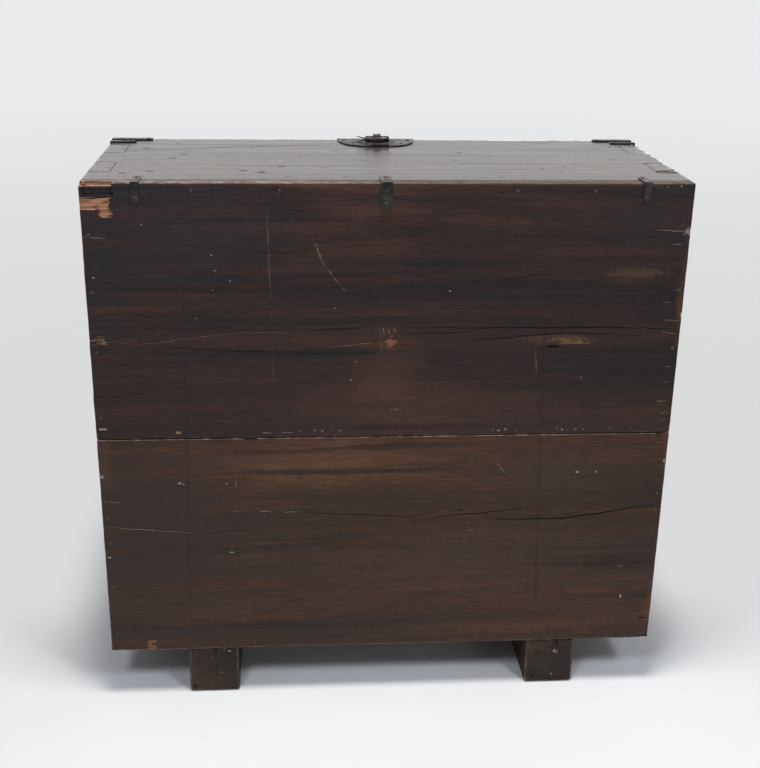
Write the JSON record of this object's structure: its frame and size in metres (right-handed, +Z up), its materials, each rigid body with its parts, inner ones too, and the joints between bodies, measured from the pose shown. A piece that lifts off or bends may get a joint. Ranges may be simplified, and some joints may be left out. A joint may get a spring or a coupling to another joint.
{
  "type": "drop front chest",
  "caption": "Wooden chest on runners whose upper front, hinged at mid-height, drops open; it has an iron hasp, lock eyes, swallowtail hinges and bail handles.",
  "frame": {"origin": "on the floor, below the middle of the whole chest with its ironwork", "axes": "+X along the chest, to the right of someone who faces the drop front; +Y from the drop front to the back; +Z up"},
  "size_m": [0.942, 0.412, 0.8793],
  "materials": {
    "case_wood": "old dark varnish over brown timber, worn at the edges",
    "top_wood": "old dark varnish, glossy, with checks and shallow dents",
    "foot_wood": "dark stained timber, dull, with open end grain",
    "iron": "forged iron with a black, slightly glossy patina",
    "nail_iron": "forged iron, rusted brown and rubbed on the heads"
  },
  "bodies": {
    "case": {"top_board": "top_wood", "bottom_board": "case_wood", "side_left": "case_wood", "side_right": "case_wood", "back_upper": "case_wood", "back_lower": "case_wood", "front_lower": "case_wood", "foot_left": "foot_wood", "foot_right": "foot_wood", "foot_nails": "nail_iron", "back_nails": "nail_iron", "hinge_lower_left": "iron", "hinge_lower_right": "iron", "hinge_pin_left": "iron", "hinge_pin_right": "iron", "hinge_lower_nails": "nail_iron", "hasp_top_plate": "iron", "hasp_leaf": "iron", "hasp_pin": "iron", "hasp_nails": "nail_iron", "side_eyes_left": "iron", "side_eyes_right": "iron", "side_rosettes_left": "iron", "side_rosettes_right": "iron", "corner_strap_left": "iron", "corner_strap_right": "iron", "edge_strap_left": "iron", "edge_strap_right": "iron", "back_strap_left": "iron", "back_strap_middle": "iron", "back_strap_right": "iron", "front_straps_left": "iron", "front_straps_right": "iron", "strap_nails": "nail_iron"},
    "door": {"drop_front": "case_wood", "batten_left": "case_wood", "batten_right": "case_wood", "batten_nails": "nail_iron", "hinge_upper_left": "iron", "hinge_upper_right": "iron", "hinge_upper_nails": "nail_iron", "lock_plate": "iron", "lock_eyes": "iron", "lock_nails": "nail_iron", "door_eyes_left": "iron", "door_eyes_right": "iron", "door_rosettes_left": "iron", "door_rosettes_right": "iron"},
    "hasp": {"hasp": "iron"},
    "door_bail_left": {"door_bail_left": "iron"},
    "door_bail_right": {"door_bail_right": "iron"},
    "side_bail_left": {"side_bail_left": "iron"},
    "side_bail_right": {"side_bail_right": "iron"}
  },
  "joints": [
    {"name": "door_drop", "type": "hinge", "parent": "case", "child": "door", "pos_m": [0, -0.19085, 0.48875], "axis": [1, 0, 0], "range_deg": [0, 160]},
    {"name": "hasp_lift", "type": "hinge", "parent": "case", "child": "hasp", "pos_m": [0, -0.14305, 0.8703], "axis": [-1, 0, 0], "range_deg": [0, 110]},
    {"name": "door_bail_left_swing", "type": "hinge", "parent": "door", "child": "door_bail_left", "pos_m": [-0.2, -0.19905, 0.68475], "axis": [-1, 0, 0], "range_deg": [-10, 170]},
    {"name": "door_bail_right_swing", "type": "hinge", "parent": "door", "child": "door_bail_right", "pos_m": [0.2, -0.19905, 0.68475], "axis": [-1, 0, 0], "range_deg": [-10, 170]},
    {"name": "side_bail_left_swing", "type": "hinge", "parent": "case", "child": "side_bail_left", "pos_m": [-0.464, 0.00895, 0.586], "axis": [0, 1, 0], "range_deg": [-8, 170]},
    {"name": "side_bail_right_swing", "type": "hinge", "parent": "case", "child": "side_bail_right", "pos_m": [0.464, 0.00895, 0.586], "axis": [0, -1, 0], "range_deg": [-8, 170]}
  ]
}
